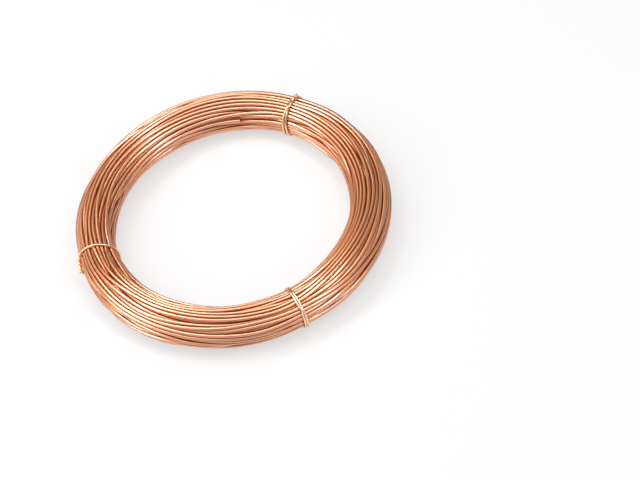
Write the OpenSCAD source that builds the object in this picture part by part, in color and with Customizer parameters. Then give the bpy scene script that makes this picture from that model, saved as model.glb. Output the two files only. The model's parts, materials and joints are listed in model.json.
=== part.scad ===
// A coil of enamelled copper wire, lying flat. One long wire is wound into a
// ring-shaped bundle, and three short binding wires hold it together.
// The ring's axis is Z, and its lowest turn touches z = 0.

/* [Wire] */
// Diameter of the coiled wire, over its enamel
wire_d = 2; // [1.4:0.1:3]

/* [Coil] */
// Clear diameter of the ring's bore
bore_d = 134.3; // [90:0.1:240]
// Thickness of the bundle of turns, between the ties
bundle_d = 24.4; // [18:0.2:34]
// Height of the flat band of innermost turns, which lay on the winding former
bore_wall_h = 6; // [3:0.5:9]

/* [Ties] */
// Diameter of the binding wire
tie_d = 1.2; // [0.8:0.1:1.6]
// Turns of binding wire in the left tie
left_turns = 1; // [1:1:3]
// Turns of binding wire in the back tie
back_turns = 2; // [1:1:3]
// Turns of binding wire in the front tie
front_turns = 2; // [1:1:3]
// Length of the waist that each tie pulls into the bundle
waist_l = 18; // [14:1:26]
// Length of each tie's twisted tail
tail_l = 7; // [4:0.5:12]
// Length of one full twist in a tail
twist_l = 5; // [4:0.1:7]
// Place of the left tie around the ring, in degrees
left_tie_at = 186; // [165:1:205]
// Place of the back tie around the ring, in degrees
back_tie_at = 54; // [35:1:75]
// Place of the front tie around the ring, in degrees
front_tie_at = 288; // [268:1:308]
// Place of the left tie's tail around the bundle, in degrees: 0 is its outer side, 90 its top
left_tail_at = -25; // [-40:1:40]
// Place of the back tie's tail around the bundle
back_tail_at = -5; // [-40:1:40]
// Place of the front tie's tail around the bundle, low on its inner side
front_tail_at = 225; // [215:1:235]

/* [Clearances] */
// Gap between a tie and the neck that it holds
tie_gap = 0.15; // [0.05:0.05:0.3]
// Gap between neighbouring strands of a tie
strand_gap = 0.1; // [0.05:0.05:0.3]
// How far a tie's wraps lie below the bore wall
tie_sink = 0.1; // [0.05:0.05:0.5]

/* [Hidden] */
$fn = 96;

wire_r = wire_d / 2;
tie_r = tie_d / 2;
bore_r = bore_d / 2;
bundle_r = bundle_d / 2;

// The bundle's section is a circle with a flat on its inner side: the bore wall.
bore_reach = sqrt(bundle_r^2 - (bore_wall_h / 2)^2);
ring_r = bore_r + bore_reach;
rim_r = bundle_r - wire_r;
rim_count = 4 * round(PI * rim_r / wire_d / 2);
valley_r = rim_r + wire_r / 4;
core_r = rim_r;

// A tie's wraps end up just below the bore wall, so the neck is that much thinner.
neck_r = bore_reach - tie_sink - tie_d - tie_gap;
waist_depth = core_r - neck_r;
waist_r = ((waist_l / 2)^2 + waist_depth^2) / (2 * waist_depth);
waist_angle = waist_l / ring_r * 180 / PI;
// The neck's ends reach this far under the bundle's full section, to both sides of the waist.
neck_lap = wire_d;
neck_angle = waist_angle + 2 * neck_lap / ring_r * 180 / PI;

// Binding wire: the middle of its wraps, the lane that each takes along the ring, how far each strand of
// the tail lies from the pair's middle, and how far the tail's root lies beyond the last lane.
wrap_r = neck_r + tie_gap + tie_r;
lane = tie_d + strand_gap;
pair_r = 0.6 * tie_d;
tail_gap = 1.5 * tie_d;
wire_sides = 8;
// How far around the bundle the wire dips from its tail to the first wrap, and rises from the last
dip_angle = 45;
rise_angle = 25;
wrap_step = 12;
bend_steps = 8;
tail_steps = ceil(10 * tail_l / twist_l);
copper = [0.83, 0.53, 0.38];
tie_copper = [0.86, 0.6, 0.45];

// ---- The coil ----

// The bundle in section, centred on its middle: outer turns as ridges on a solid core, with the flat
// of the bore wall on the side that faces the ring's axis.
module bundle_section() {
    difference() {
        union() {
            circle(r = valley_r);
            for (i = [0:rim_count - 1])
                rotate(i * 360 / rim_count) translate([rim_r, 0]) circle(r = wire_r, $fn = 32);
        }
        translate([-bore_reach - bundle_r, -bundle_r]) square([bundle_r, bundle_d]);
    }
    translate([-bore_reach, -bore_wall_h / 2]) square([wire_d, bore_wall_h]);
}

// A stretch of the bundle with its turns showing, from the edge of one waist to the edge of the next.
module stretch(from_tie, to_tie) {
    turn = (to_tie - from_tie + 360) % 360 - waist_angle;
    rotate(from_tie + waist_angle / 2)
        rotate_extrude(angle = turn) translate([ring_r, 0]) bundle_section();
}

// A short arc of the core under a tie, drawn in to the neck by a hollow that runs around it.
module neck(at) {
    rotate(at) difference() {
        rotate(-neck_angle / 2)
            rotate_extrude(angle = neck_angle) translate([ring_r, 0]) circle(r = core_r);
        translate([ring_r, 0]) rotate([90, 0, 0])
            rotate_extrude() translate([neck_r + waist_r, 0]) circle(r = waist_r);
    }
}

module wire_coil() {
    color(copper) translate([0, 0, bundle_r]) {
        for (at = [left_tie_at, back_tie_at, front_tie_at]) neck(at);
        stretch(back_tie_at, left_tie_at);
        stretch(left_tie_at, front_tie_at);
        stretch(front_tie_at, back_tie_at);
    }
}

// ---- Binding wires ----

// Angle around the ring of a place: along the ring from a tie, around the section, out from its middle.
function turn_to(at, along, around, out) = at + along / (ring_r + out * cos(around)) * 180 / PI;

// The place itself.
function on_bundle(at, along, around, out) =
    let (turn = turn_to(at, along, around, out), reach = ring_r + out * cos(around))
    [reach * cos(turn), reach * sin(turn), bundle_r + out * sin(around)];

// Direction from the bundle's middle outwards through it.
function outward(at, along, around, out) =
    let (turn = turn_to(at, along, around, out))
    [cos(around) * cos(turn), cos(around) * sin(turn), sin(around)];

function mix(a, b, t) = a + (b - a) * t;
function ease(t) = let (c = min(1, max(0, t))) c * c * (3 - 2 * c);

// Middle line of the twisted pair, which climbs from the neck onto the full bundle.
function pair_out(along) =
    mix(neck_r, bundle_r, ease(along / (waist_l / 2))) + tie_gap + pair_r + tie_r;

// Places on a binding wire are [along, around, out], for a tie of some turns: its lanes lie evenly to
// both sides of the tie's middle, and its tail starts at a root beside the last lane.
function lane_at(angle, turns) = lane * (angle / 360 - turns / 2);
function root_at(turns) = lane * turns / 2 + tail_gap;

// One strand of the tail's pair, t from root to tip; side 0 starts on the outside, 180 on the inside.
function tail_place(t, side, turns) =
    let (along = root_at(turns) + tail_l * t, spin = side + 360 * tail_l * t / twist_l,
         out = pair_out(along) + pair_r * cos(spin))
    [along, pair_r * sin(spin) / out * 180 / PI, out];

// From the tail over the wraps and down into the first lane, t from 0 to 1.
function dip_place(t, turns) =
    [mix(root_at(turns), lane_at(dip_angle, turns), sin(90 * min(1, t / 0.6))),
     dip_angle * t * t,
     mix(pair_out(root_at(turns)) + pair_r, wrap_r, ease((t - 0.4) / 0.6))];

// From the last lane up and round into the tail, t from 0 to 1.
function rise_place(t, turns) =
    [mix(lane_at(360 * turns - rise_angle, turns), root_at(turns), 1 - cos(90 * t)),
     360 * turns - rise_angle * (1 - sin(90 * t)),
     mix(wrap_r, pair_out(root_at(turns)) - pair_r, ease(t))];

// The whole path of one binding wire, from tip to tip.
function tie_places(turns) =
    let (wrap_end = 360 * turns - rise_angle, wraps = round((wrap_end - dip_angle) / wrap_step))
    concat(
        [for (i = [tail_steps:-1:1]) tail_place(i / tail_steps, 0, turns)],
        [for (i = [0:bend_steps - 1]) dip_place(i / bend_steps, turns)],
        [for (i = [0:wraps - 1])
            let (angle = mix(dip_angle, wrap_end, i / wraps))
            [lane_at(angle, turns), angle, wrap_r]],
        [for (i = [0:bend_steps - 1]) rise_place(i / bend_steps, turns)],
        [for (i = [0:tail_steps]) tail_place(i / tail_steps, 180, turns) + [0, 360 * turns, 0]]
    );

function unit(v) = v / norm(v);

// Binding wire swept along its path; hand is 1 or -1, the way that its tail points.
module tie(at, turns, tail_around, hand) {
    places = tie_places(turns);
    last = len(places) - 1;
    line = [for (p = places) on_bundle(at, hand * p[0], tail_around + p[1], p[2])];
    rings = [for (i = [0:last])
        let (p = places[i],
             run = unit(line[min(last, i + 1)] - line[max(0, i - 1)]),
             up = outward(at, hand * p[0], tail_around + p[1], p[2]),
             a = unit(up - (up * run) * run),
             b = cross(run, a))
        [for (k = [0:wire_sides - 1])
            line[i] + tie_r * (cos(k * 360 / wire_sides) * a + sin(k * 360 / wire_sides) * b)]];
    corners = [for (r = rings) for (p = r) p];
    walls = [for (i = [0:last - 1]) for (k = [0:wire_sides - 1])
        let (n = (k + 1) % wire_sides, s = i * wire_sides, e = s + wire_sides)
        [s + k, e + k, e + n, s + n]];
    start_cap = [for (k = [0:wire_sides - 1]) k];
    end_cap = [for (k = [wire_sides - 1:-1:0]) last * wire_sides + k];
    color(tie_copper) polyhedron(corners, concat(walls, [start_cap, end_cap]));
}

module tie_left() tie(left_tie_at, left_turns, left_tail_at, 1);
module tie_back() tie(back_tie_at, back_turns, back_tail_at, -1);
module tie_front() tie(front_tie_at, front_turns, front_tail_at, 1);

wire_coil();
tie_left();
tie_back();
tie_front();
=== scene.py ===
"""Looks of a coil of enamelled copper wire: one long wire laid as a bundle of turns, and three binding wires.

The frame holds the coil's place and size. Everything here is worked out in millimetres around the coil's
axis, and written to the meshes in metres. Around the bundle, 0 degrees is its outer side and 90 its top.
"""
import json
import math

import bpy
import numpy as np
from mathutils import Matrix, Vector


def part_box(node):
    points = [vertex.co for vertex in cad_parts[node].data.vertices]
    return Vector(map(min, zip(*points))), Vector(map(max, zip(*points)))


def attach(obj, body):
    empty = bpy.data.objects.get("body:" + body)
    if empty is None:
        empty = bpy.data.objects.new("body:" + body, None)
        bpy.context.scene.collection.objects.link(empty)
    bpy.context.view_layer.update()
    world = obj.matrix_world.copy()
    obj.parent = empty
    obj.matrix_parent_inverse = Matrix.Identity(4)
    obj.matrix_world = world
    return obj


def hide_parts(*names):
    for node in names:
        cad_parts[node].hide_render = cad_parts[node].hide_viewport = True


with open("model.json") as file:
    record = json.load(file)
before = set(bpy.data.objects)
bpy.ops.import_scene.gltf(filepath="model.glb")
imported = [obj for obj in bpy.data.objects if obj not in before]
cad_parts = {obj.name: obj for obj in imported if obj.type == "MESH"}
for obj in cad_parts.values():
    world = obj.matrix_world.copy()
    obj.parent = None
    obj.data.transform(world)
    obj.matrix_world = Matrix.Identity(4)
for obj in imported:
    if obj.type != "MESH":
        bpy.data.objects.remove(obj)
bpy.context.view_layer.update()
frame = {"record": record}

MM = 0.001

# ---- Sizes from the frame, in millimetres ----

COIL_LOW, COIL_HIGH = (np.array(corner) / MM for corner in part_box("wire_coil"))
BUNDLE_R = (COIL_HIGH[2] - COIL_LOW[2]) / 2
RING_R = (COIL_HIGH[1] - COIL_LOW[1]) / 2 - BUNDLE_R
BORE_R = next(m["dims"]["r_mm"] for m in frame["record"]["mounts"] if m["name"] == "bore")
MIDDLE_Z = COIL_LOW[2] + BUNDLE_R

# ---- The coiled wire ----

WIRE_D = 2.0
WIRE_R = WIRE_D / 2
WIRE_SIDES = 10
WIRE_BEVEL = 0.15
TURNS = 92
STEPS = 104  # sections around the ring, each with a place for every turn
START_AT = math.radians(77)  # where the first turn's cut end lies
END_SHORT = 4  # steps that the last turn stops short of a full one
GROOVE = 0.32  # gap between turns over which the painted shade in a groove fades

TIE_D = 1.2
TIE_R = TIE_D / 2
TIE_SIDES = 12
TIE_BEVEL = 0.1
NECK_R = 11.0  # bundle radius under a tie
WAIST = 16.0  # length along the ring over which the bundle widens again, beside a tie
TIES_AT = {"left": math.radians(186), "back": math.radians(54), "front": math.radians(288)}


def drifting(rng, count, reach, size):
    """Two rows of smooth chance: white noise kept under a Gaussian in frequency, with a spread of size."""
    white = rng.standard_normal((2, count))
    pace = np.fft.rfftfreq(count) * 2 * np.pi
    row = np.fft.irfft(np.fft.rfft(white) * np.exp(-0.5 * (pace * reach) ** 2), count)
    return size * row / row.std(axis=1, keepdims=True)


def nearness(angle):
    """How near a tie is around the ring: exp(-(distance / WAIST) ** 2) to the nearest one."""
    away = np.asarray(angle)[:, None] - np.array(list(TIES_AT.values()))
    gap = np.abs((away + np.pi) % (2 * np.pi) - np.pi).min(axis=1) * RING_R
    return np.exp(-(gap / WAIST) ** 2)


def room_at(angle):
    """Bundle radius around the ring, full between the ties and drawn in to the neck at each."""
    return BUNDLE_R - (BUNDLE_R - NECK_R) * nearness(angle)


def eased(rows, reach):
    """Each column of rows averaged along the wire under a Gaussian of the given reach in steps."""
    half = int(3 * reach) + 1
    bell = np.exp(-0.5 * (np.arange(-half, half + 1) / reach) ** 2)
    bell /= bell.sum()
    padded = np.pad(rows, ((half, half), (0, 0)), mode="edge")
    return np.stack([np.convolve(padded[:, c], bell, "valid") for c in (0, 1)], axis=1)


def first_places(rng, room, wander_l=38.0, wander=1.3):
    """Turns spread over the section like seeds in a flower head, wound in layers, then left to wander."""
    beyond = 100  # more than any height, so that the layers stay apart when the turns are put in order
    seed = np.arange(TURNS)
    out = (BUNDLE_R - WIRE_R) * np.sqrt((seed + 0.5) / TURNS)
    turn = seed * math.pi * (3 - math.sqrt(5))
    spots = np.stack([out * np.cos(turn), out * np.sin(turn)], axis=1)
    layer = np.floor((spots[:, 0] + BUNDLE_R) / WIRE_D)
    spots = spots[np.argsort(layer * beyond + np.where(layer % 2 == 0, spots[:, 1], -spots[:, 1]))]
    following = np.vstack([spots[1:], spots[-1:]])
    share = (np.arange(STEPS) / STEPS)[None, :, None]
    places = spots[:, None] * (1 - share) + following[:, None] * share
    reach = wander_l / (2 * np.pi * RING_R / STEPS)
    places += drifting(rng, TURNS * STEPS, reach, wander).T.reshape(TURNS, STEPS, 2)
    return places * (room / BUNDLE_R)[None, :, None]


def lay_turns(rounds=300, dents=0.8, waves=8):
    """Places of every turn in every section, as outward and up from the bundle's middle.

    In each round, wires closer than a diameter push each other apart, the bundle's outer edge and the bore
    hold them in, and the pushes are averaged along the wire, so that it bends as stiff wire does. The edge
    and the bore are uneven: dents, up to that many millimetres deep, follow a sum of waves around the ring
    and the bundle, and fade out toward the ties.
    """
    touching, edge_slope = 1.01 * WIRE_D, 2
    start_up, start_hold, hold_steps = 2.7, 0.5, 14.0  # the first end is held at the bore, above its middle
    stiff, settled = 2.2, 1.3  # steps over which the pushes are averaged, in the early and in the late rounds
    pace = 1.3  # how far a push moves the wire in a round
    straighten, straighten_steps = 0.15, 1.5  # how much it straightens in every third round, over how far
    rng = np.random.default_rng(7)
    angle = START_AT + 2 * np.pi * np.arange(STEPS) / STEPS
    room, near = room_at(angle), nearness(angle)
    places = first_places(rng, room)
    around_waves = rng.integers(4, 10, waves)
    along_waves = rng.integers(-4, 5, waves)
    offsets = rng.uniform(0, 2 * np.pi, waves)
    itself = np.eye(TURNS, dtype=bool)[:, :, None]
    hold = start_hold * np.exp(-(np.arange(STEPS) / hold_steps) ** 2)[:, None]
    start_place = np.array([BORE_R - RING_R + WIRE_R, start_up])
    for step in range(rounds):
        away = places[:, None] - places[None]
        apart = np.sqrt((away ** 2).sum(axis=-1)) + 1e-6
        over = np.where(itself, 0, np.clip(touching - apart, 0, None))
        push = (away * (over / apart)[..., None]).sum(axis=1) * 0.5
        out = np.sqrt((places ** 2).sum(axis=-1)) + 1e-9
        round_it = np.arctan2(places[..., 1], places[..., 0])
        swell = sum(np.cos(m * angle[None] + n * round_it + o)
                    for m, n, o in zip(along_waves, around_waves, offsets)) / math.sqrt(waves / 2)
        dent = dents * (1 - near) / (1 + np.exp(-edge_slope * swell))
        push -= places * (np.clip(out - room + WIRE_R + dent, 0, None) / out)[..., None]
        wall = BORE_R - RING_R + WIRE_R + TIE_D * near + dent
        push[..., 0] += np.clip(wall - places[..., 0], 0, None)
        push[0] += hold * (start_place - places[0])
        reach = stiff if step < 0.6 * rounds else settled
        places = places + pace * eased(push.reshape(-1, 2), reach).reshape(places.shape)
        if step % 3 == 0:
            straight = eased(places.reshape(-1, 2), straighten_steps).reshape(places.shape)
            places = (1 - straighten) * places + straighten * straight
    return places


# The closeness is the mask of the painted shade in the grooves between turns.
def closeness(places):
    """How near each point of the wire's skin lies to another turn: exp(-(gap / GROOVE) ** 2).

    The skin point k of a turn lies from its middle by the wire's radius, sin k outward and cos k up.
    """
    k = 2 * np.pi * np.arange(WIRE_SIDES) / WIRE_SIDES
    skin = places[:, None] + WIRE_R * np.stack([np.sin(k), np.cos(k)], axis=-1)[None, :, None]
    nearest = np.full(skin.shape[:3], np.inf)
    for shift in range(1, TURNS):
        other = np.roll(places, shift, axis=0)[:, None]
        nearest = np.minimum(nearest, np.sqrt(((skin - other) ** 2).sum(axis=-1)))
    gap = np.clip(nearest - WIRE_R, 0, None)
    return np.exp(-(gap / GROOVE) ** 2).transpose(0, 2, 1).reshape(-1, WIRE_SIDES)


def around_ring(angle, out, up):
    """Points at an angle around the ring, out and up from the bundle's middle."""
    reach = RING_R + out
    return np.stack([reach * np.cos(angle), reach * np.sin(angle), MIDDLE_Z + up], axis=-1)


# ---- The binding wires ----

def wrap_radius(places, at):
    """Distance from the bundle's middle to a binding wire drawn tight around it, for each degree.

    The wire follows the hull of the turns: with h(p) the furthest reach of any turn in direction p plus both
    radii, the hull lies at the least h(p) / cos(q - p) in direction q. A short average rounds its corners.
    """
    least_lean = 0.2
    corner, half = 2.5, 9  # in degrees: the average's spread, and how far it looks to each side
    steps = (START_AT + 2 * np.pi * np.arange(STEPS) / STEPS - at + np.pi) % (2 * np.pi) - np.pi
    near = np.abs(steps).argsort()[:2]
    turns = places[:, near].reshape(-1, 2)
    p = np.radians(np.arange(360))
    reach = (turns @ np.stack([np.cos(p), np.sin(p)])).max(axis=0) + WIRE_R + TIE_R
    lean = np.cos(p[:, None] - p[None])
    hull = np.where(lean > least_lean, reach[None] / np.maximum(lean, least_lean), np.inf).min(axis=1)
    bell = np.exp(-0.5 * (np.arange(-half, half + 1) / corner) ** 2)
    return np.convolve(np.pad(hull, half, mode="wrap"), bell / bell.sum(), "valid")


def smooth_step(t):
    """From 0 to 1, level at both."""
    t = np.clip(t, 0, 1)
    return t * t * (3 - 2 * t)


def tie_line(places, at, wraps, tail_at, droop, crossings, hand, spread):
    """Middle line of a binding wire and its outward directions.

    Each point is given along the ring from the tie, around the bundle in degrees and out from its middle.
    A single wrap slants along the ring. Two wraps keep to lanes beside each other, which spread on the inner
    side, and change lanes at each crossing, where they turn about each other by half a turn. Both ends meet
    at the tail, a double helix that lies along the ring and droops by some degrees around the bundle; hand
    is 1 or -1, the way along the ring that it points. Crossings are places around the bundle, in degrees,
    and spread is how much further apart the lanes lie on the inner side.
    """
    helix_r, tail_l, twist_l, shorter = 0.52 * TIE_D, 7.0, 5.0, 0.94  # the second end is cut a little shorter
    root = (0.3 if wraps == 1 else 2.2) * TIE_D  # where the tail starts, along the ring
    shift, slant = 0.55, 2.15  # how far a single wrap lies along the ring, and leans to each side of that
    crossing, spread_at, spread_over = 26, 195, 45  # in degrees: a crossing's length, and where lanes spread
    lane_gap, cross_gap = 0.06, 0.03
    dip, rise, step = 20.0, 20.0, 3.0  # in degrees: from the tail to the wraps, from them to it, and by point
    tail_points, bend_points = 36, 15
    hull = wrap_radius(places, at)

    def tail(share, side):
        along = root + tail_l * share
        around = tail_at - droop * share
        ground = [wrap_radius(places, at + hand * a / RING_R)[int(q) % 360] for a, q in zip(along, around)]
        spin = np.radians(side) + 2 * np.pi * tail_l * share / twist_l
        out = np.array(ground) + helix_r * (1 + np.cos(spin))
        return np.stack([along, around + np.degrees(helix_r * np.sin(spin) / out), out])

    def wrap(turn, q):
        """Points of one wrap, at q degrees around from the tail; turn is 0 for the first, 1 for the next."""
        around = (tail_at + q) % 360
        lift = np.interp(around, np.arange(361), np.append(hull, hull[0]))
        if wraps == 1:
            return np.stack([shift - slant * np.cos(np.radians(around)), tail_at + q, lift])
        phase = np.pi * sum(smooth_step((q - (c - tail_at) % 360) / crossing + 0.5) for c in crossings)
        width = TIE_R + lane_gap + spread * np.exp(-((around - spread_at) / spread_over) ** 2)
        side = 1 if turn == 0 else -1
        over = (TIE_R + cross_gap) * (np.abs(np.sin(phase)) - side * np.sin(phase))
        return np.stack([side * width * np.cos(phase), tail_at + q, lift + over])

    t = np.linspace(0, 1, tail_points)[1:]
    head_in = tail(t[::-1], 90)
    first, last = tail(np.array([0.0]), 90)[:, 0], tail(np.array([0.0]), 270)[:, 0]
    land, leave = wrap(0, np.array([dip]))[:, 0], wrap(wraps - 1, np.array([360 - rise]))[:, 0]
    last[1] += 360 * wraps
    leave[1] += 360 * (wraps - 1)
    b = np.linspace(0, 1, bend_points)
    bend, ease = np.pi / 2 * b, smooth_step(b)
    down = land[:, None] + (first - land)[:, None] * np.stack([1 - np.sin(bend), np.cos(bend), 1 - ease])
    up = leave[:, None] + (last - leave)[:, None] * np.stack([1 - np.cos(bend), np.sin(bend), ease])
    if wraps == 1:
        body = [wrap(0, np.arange(dip + step, 360 - rise, step))]
    else:
        second = wrap(1, np.arange(0.0, 360 - rise, step))
        second[1] += 360
        body = [wrap(0, np.arange(dip + step, 360.0, step)), second]
    tail_out = tail(t * shorter, 270)
    tail_out[1] += 360 * wraps
    along, around, out = np.concatenate([head_in, down, *body, up, tail_out], axis=1)
    around = np.radians(around)
    angle = at + hand * along / (RING_R + out * np.cos(around))
    line = around_ring(angle, out * np.cos(around), out * np.sin(around))
    line[:, 2] = np.maximum(line[:, 2], TIE_R)
    outward = [np.cos(around) * np.cos(angle), np.cos(around) * np.sin(angle), np.sin(around)]
    return line, np.stack(outward, axis=-1)


# ---- Meshes ----

SHARP = math.radians(40)  # the bevels of a cut end stay crisp


def put(name, data):
    """A new object in the scene."""
    thing = bpy.data.objects.new(name, data)
    bpy.context.scene.collection.objects.link(thing)
    return thing


def unrolled(count, sides):
    """Flat places for the corners of a wound wire's faces, walls first and then both ends.

    s counts turns from the start. A wall between two rings lies at u = s - turn, v = (turn + share) / TURNS,
    with its share of the way around, and each turn keeps a margin to the next. Both ends are small rounds
    beyond the end of the last turn.
    """
    left, across, below, high = 0.003, 0.99, 0.06, 0.88  # the part of its field that a turn fills
    round_u, round_v = 0.002, 0.3
    bevel_s = 0.05
    s = np.concatenate([[0], bevel_s + np.arange(count - 2), [count - 3 + 2 * bevel_s]]) / STEPS
    turn = np.floor(s[:-1])[:, None]
    share = (np.arange(sides)[None] + np.array([0, 1])[:, None]) / sides
    u0, u1 = [left + across * (s[i:count - 1 + i, None] - turn + np.zeros((1, sides))) for i in (0, 1)]
    v0, v1 = [(turn + below + high * way) / TURNS for way in share]
    walls = np.stack([u0, v0, u0, v1, u1, v1, u1, v0], axis=-1).reshape(-1, 2)
    k = 2 * np.pi * np.arange(sides) / sides
    v = (TURNS - 0.5 + round_v * np.sin(k)) / TURNS
    rounds = [np.stack([u + round_u * np.cos(k), v], axis=-1) for u in (0.98, 0.99)]
    return np.vstack([walls, rounds[0][::-1], rounds[1]])


def tube(name, line, upright, radius, sides, bevel, close=None):
    """A wire swept along a line: rings of points square to its run, closed with bevelled flat ends.

    Each ring is centre + radius * (cos k * a + sin k * b), where a is the upright direction made square to
    the run and b is square to both. With close given, each point keeps its closeness, and the wire is
    unrolled turn by turn: u runs along each turn, and v stacks the turns, each with its own way around.
    """
    run = np.gradient(line, axis=0)
    run /= np.linalg.norm(run, axis=1, keepdims=True)
    after_start, before_end = line[:1] + bevel * run[:1], line[-1:] - bevel * run[-1:]
    line = np.vstack([line[:1], after_start, line[1:-1], before_end, line[-1:]])
    run = np.vstack([run[:1], run, run[-1:]])
    upright = np.vstack([upright[:1], upright, upright[-1:]])
    a = upright - (upright * run).sum(axis=1, keepdims=True) * run
    a /= np.linalg.norm(a, axis=1, keepdims=True)
    b = np.cross(run, a)
    size = np.full(len(line), radius)
    size[[0, -1]] = radius - bevel
    k = 2 * np.pi * np.arange(sides) / sides
    rings = line[:, None] + size[:, None, None] * (
        np.cos(k)[None, :, None] * a[:, None] + np.sin(k)[None, :, None] * b[:, None])
    count = len(line)
    start = (np.arange(count - 1) * sides)[:, None] + np.arange(sides)[None]
    beside = (np.arange(count - 1) * sides)[:, None] + (np.arange(sides) + 1)[None] % sides
    walls = np.stack([start, beside, beside + sides, start + sides], axis=-1).reshape(-1, 4)
    ends = [list(range(sides - 1, -1, -1)), list(range((count - 1) * sides, count * sides))]
    mesh = bpy.data.meshes.new(name)
    mesh.from_pydata((rings.reshape(-1, 3) * MM).tolist(), [], walls.tolist() + ends)
    if close is not None:
        close = np.vstack([close[:1], close, close[-1:]])
        mesh.attributes.new("closeness", "FLOAT", "POINT").data.foreach_set("value", close.ravel())
        mesh.uv_layers.new(name="OFBake").data.foreach_set("uv", unrolled(count, sides).ravel())
    mesh.polygons.foreach_set("use_smooth", [True] * len(mesh.polygons))
    mesh.set_sharp_from_angle(angle=SHARP)
    mesh.validate()
    return put(name, mesh)


# ---- Materials ----

def colour(text):
    """sRGB hex to linear, with full alpha."""
    parts = [int(text[i:i + 2], 16) / 255 for i in (1, 3, 5)]
    return [p / 12.92 if p <= 0.04045 else ((p + 0.055) / 1.055) ** 2.4 for p in parts] + [1]


def add(tree, kind, settings=(), links=(), values=()):
    """Adds a node, sets its own settings, links sockets to it, and sets the values of others."""
    node = tree.nodes.new(kind)
    for name, setting in dict(settings).items():
        setattr(node, name, setting)
    for name, source in dict(links).items():
        tree.links.new(source, node.inputs[name])
    for name, value in dict(values).items():
        node.inputs[name].default_value = value
    return node


def enamelled_copper(name, base, edge, roughness, coat, coat_roughness, coat_ior, deep=None):
    """Drawn copper under thin clear enamel: warm metal with a broad soft sheen, and a paler gloss on top.

    Edge is the metal's tint where it turns away from the eye. With deep given, the metal goes over to that
    colour as closeness goes to 1, and the gloss is gone from half way on: painted shade in the grooves
    between turns.
    """
    gloss_loss = -2.0
    material = bpy.data.materials.new(name)
    material.use_nodes = True
    tree = material.node_tree
    shader = tree.nodes["Principled BSDF"]
    looks = {"Metallic": 1, "Base Color": colour(base), "Roughness": roughness, "Specular Tint": colour(edge),
             "Coat Weight": coat, "Coat Roughness": coat_roughness, "Coat IOR": coat_ior}
    for socket, value in looks.items():
        shader.inputs[socket].default_value = value
    # Painted shade: where turns lie close, the base colour darkens to deep and the gloss fades, in the
    # grooves
    if deep:
        close = add(tree, "ShaderNodeAttribute", {"attribute_name": "closeness"})
        shade = add(tree, "ShaderNodeMix", {"data_type": "RGBA"}, {"Factor": close.outputs["Fac"]},
                    {"A": colour(base), "B": colour(deep)})
        gloss = add(tree, "ShaderNodeMath", {"operation": "MULTIPLY_ADD"}, {0: close.outputs["Fac"]},
                    {1: gloss_loss, 2: coat})
        tree.links.new(shade.outputs["Result"], shader.inputs["Base Color"])
        tree.links.new(gloss.outputs["Value"], shader.inputs["Coat Weight"])
    return material


# ---- Stage ----

def make_camera():
    """A long lens that looks down on the coil, tilted, with the coil up and to the left of the middle."""
    elevation = math.radians(50.76)
    roll = math.radians(13.0)
    aim = Vector((45.2, -32.5, MIDDLE_Z)) * MM
    distance = 1229.0 * MM
    back = Vector((0, -math.cos(elevation), math.sin(elevation)))
    level = Vector((1, 0, 0))
    up = back.cross(level)
    right = level * math.cos(roll) - up * math.sin(roll)
    data = bpy.data.cameras.new("camera")
    data.lens = 123.75
    data.sensor_width = 36
    camera = put("camera", data)
    turn = Matrix((right, back.cross(right), back)).transposed()
    camera.matrix_world = Matrix.Translation(aim + back * distance) @ turn.to_4x4()
    bpy.context.scene.camera = camera


def soft_lamp(name, towards, turns_at, distance, length, width, brightness):
    """A soft lamp that faces the coil from a direction. Its length lies along the ring's radius at an angle,
    in degrees, so that a narrow one lights up the turns there and opposite. Brightness is its face's."""
    towards = Vector(towards).normalized()
    a = math.radians(turns_at)
    x = Vector((-math.sin(a), math.cos(a), 0))
    x = (x - x.dot(towards) * towards).normalized()
    data = bpy.data.lights.new(name, "AREA")
    data.shape = "RECTANGLE"
    data.size, data.size_y = width, length
    data.energy = brightness * math.pi * length * width
    lamp = put(name, data)
    turn = Matrix((x, towards.cross(x), towards)).transposed()
    lamp.matrix_world = Matrix.Translation(towards * distance) @ turn.to_4x4()


def make_floor():
    """A wide floor that keeps the coil's shadow. Its own glow, which only camera, glossy and transmission
    rays see, lifts what the lamps leave grey to white."""
    half = 3.0
    glow_strength = 0.57
    mesh = bpy.data.meshes.new("floor")
    corners = [(-half, -half, 0), (half, -half, 0), (half, half, 0), (-half, half, 0)]
    mesh.from_pydata(corners, [], [(0, 1, 2, 3)])
    floor = put("floor", mesh)
    material = bpy.data.materials.new("matt_white_floor")
    material.use_nodes = True
    tree = material.node_tree
    shader = tree.nodes["Principled BSDF"]
    shader.inputs["Roughness"].default_value = 1
    shader.inputs["Specular IOR Level"].default_value = 0
    shader.inputs["Base Color"].default_value = colour("#989898")
    shader.inputs["Emission Color"].default_value = colour("#FFFFFF")
    path = add(tree, "ShaderNodeLightPath")
    seen = path.outputs["Is Camera Ray"]
    for kind in ("Is Glossy Ray", "Is Transmission Ray"):
        either = add(tree, "ShaderNodeMath", {"operation": "MAXIMUM"}, {0: seen, 1: path.outputs[kind]})
        seen = either.outputs["Value"]
    glow = add(tree, "ShaderNodeMath", {"operation": "MULTIPLY"}, {0: seen}, {1: glow_strength})
    tree.links.new(glow.outputs["Value"], shader.inputs["Emission Strength"])
    mesh.materials.append(material)


def make_world(strength):
    """Plain white light from all around."""
    world = bpy.data.worlds.new("studio")
    world.use_nodes = True
    back = world.node_tree.nodes["Background"]
    back.inputs["Color"].default_value = (1, 1, 1, 1)
    back.inputs["Strength"].default_value = strength
    bpy.context.scene.world = world


# ---- The scene ----

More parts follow.
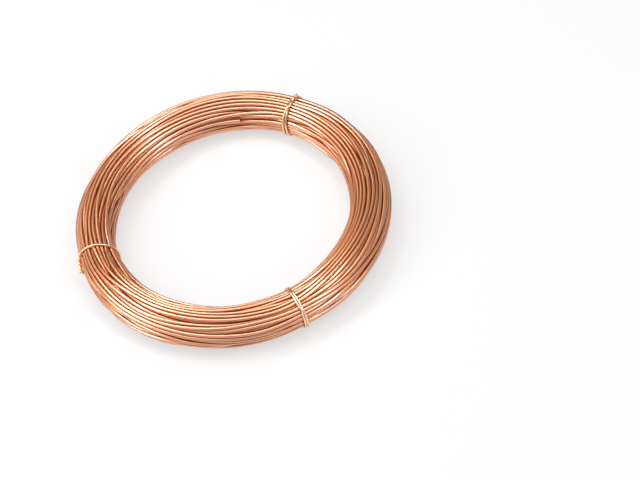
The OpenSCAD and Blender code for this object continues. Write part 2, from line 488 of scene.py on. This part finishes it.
bpy.context.scene.view_settings.view_transform = "Standard"
make_camera()
make_world(0.13)
make_floor()
# The softbox lights every turn from above. Each strip gives two pale stretches, opposite each other.
soft_lamp("top_softbox", (-0.1, -0.15, 0.98), turns_at=0, distance=1.5, length=1.6, width=1.6,
          brightness=1.0)
soft_lamp("left_strip", (-0.63, 0.09, 0.77), turns_at=42, distance=1.3, length=2.6, width=0.42,
          brightness=6.0)
soft_lamp("right_strip", (0.48, -0.29, 0.83), turns_at=120, distance=1.45, length=2.4, width=0.26,
          brightness=7.0)

places = lay_turns()
run = places.reshape(-1, 2)[:TURNS * STEPS - END_SHORT]
angles = START_AT + 2 * np.pi * np.arange(len(run)) / STEPS
line = around_ring(angles, run[:, 0], np.maximum(run[:, 1], WIRE_R - BUNDLE_R))
wire = tube("copper_wire", line, np.tile([0.0, 0.0, 1.0], (len(line), 1)), WIRE_R, WIRE_SIDES, WIRE_BEVEL,
            closeness(places)[:len(line)])
# Winding wire: orange copper with a strong gloss, and painted red-brown shade in the grooves
wire.data.materials.append(enamelled_copper(
    "enamelled_copper", "#F0A068", "#C86838", roughness=0.46, coat=1.0, coat_roughness=0.21, coat_ior=2.5,
    deep="#6A2206"))
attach(wire, "root")
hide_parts("wire_coil")

# Binding wire: copper with less gloss, painted paler and yellower than the coil as its highlight
tie_copper = enamelled_copper(
    "pale_copper_painted_highlight", "#FFDCB8", "#F0C8A0", roughness=0.4, coat=0.6, coat_roughness=0.2, coat_ior=2.0)
ties = {
    "left": dict(wraps=1, tail_at=20, droop=24, crossings=(), hand=1, spread=0),
    "back": dict(wraps=2, tail_at=-8, droop=0, crossings=(109, 71, 54), hand=-1, spread=0.5),
    "front": dict(wraps=2, tail_at=225, droop=0, crossings=(40,), hand=1, spread=0.1),
}
for node, course in ties.items():
    line, outward = tie_line(places, TIES_AT[node], **course)
    tie = tube(node + "_binding_wire", line, outward, TIE_R, TIE_SIDES, TIE_BEVEL)
    tie.data.materials.append(tie_copper)
    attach(tie, "root")
    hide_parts("tie_" + node)
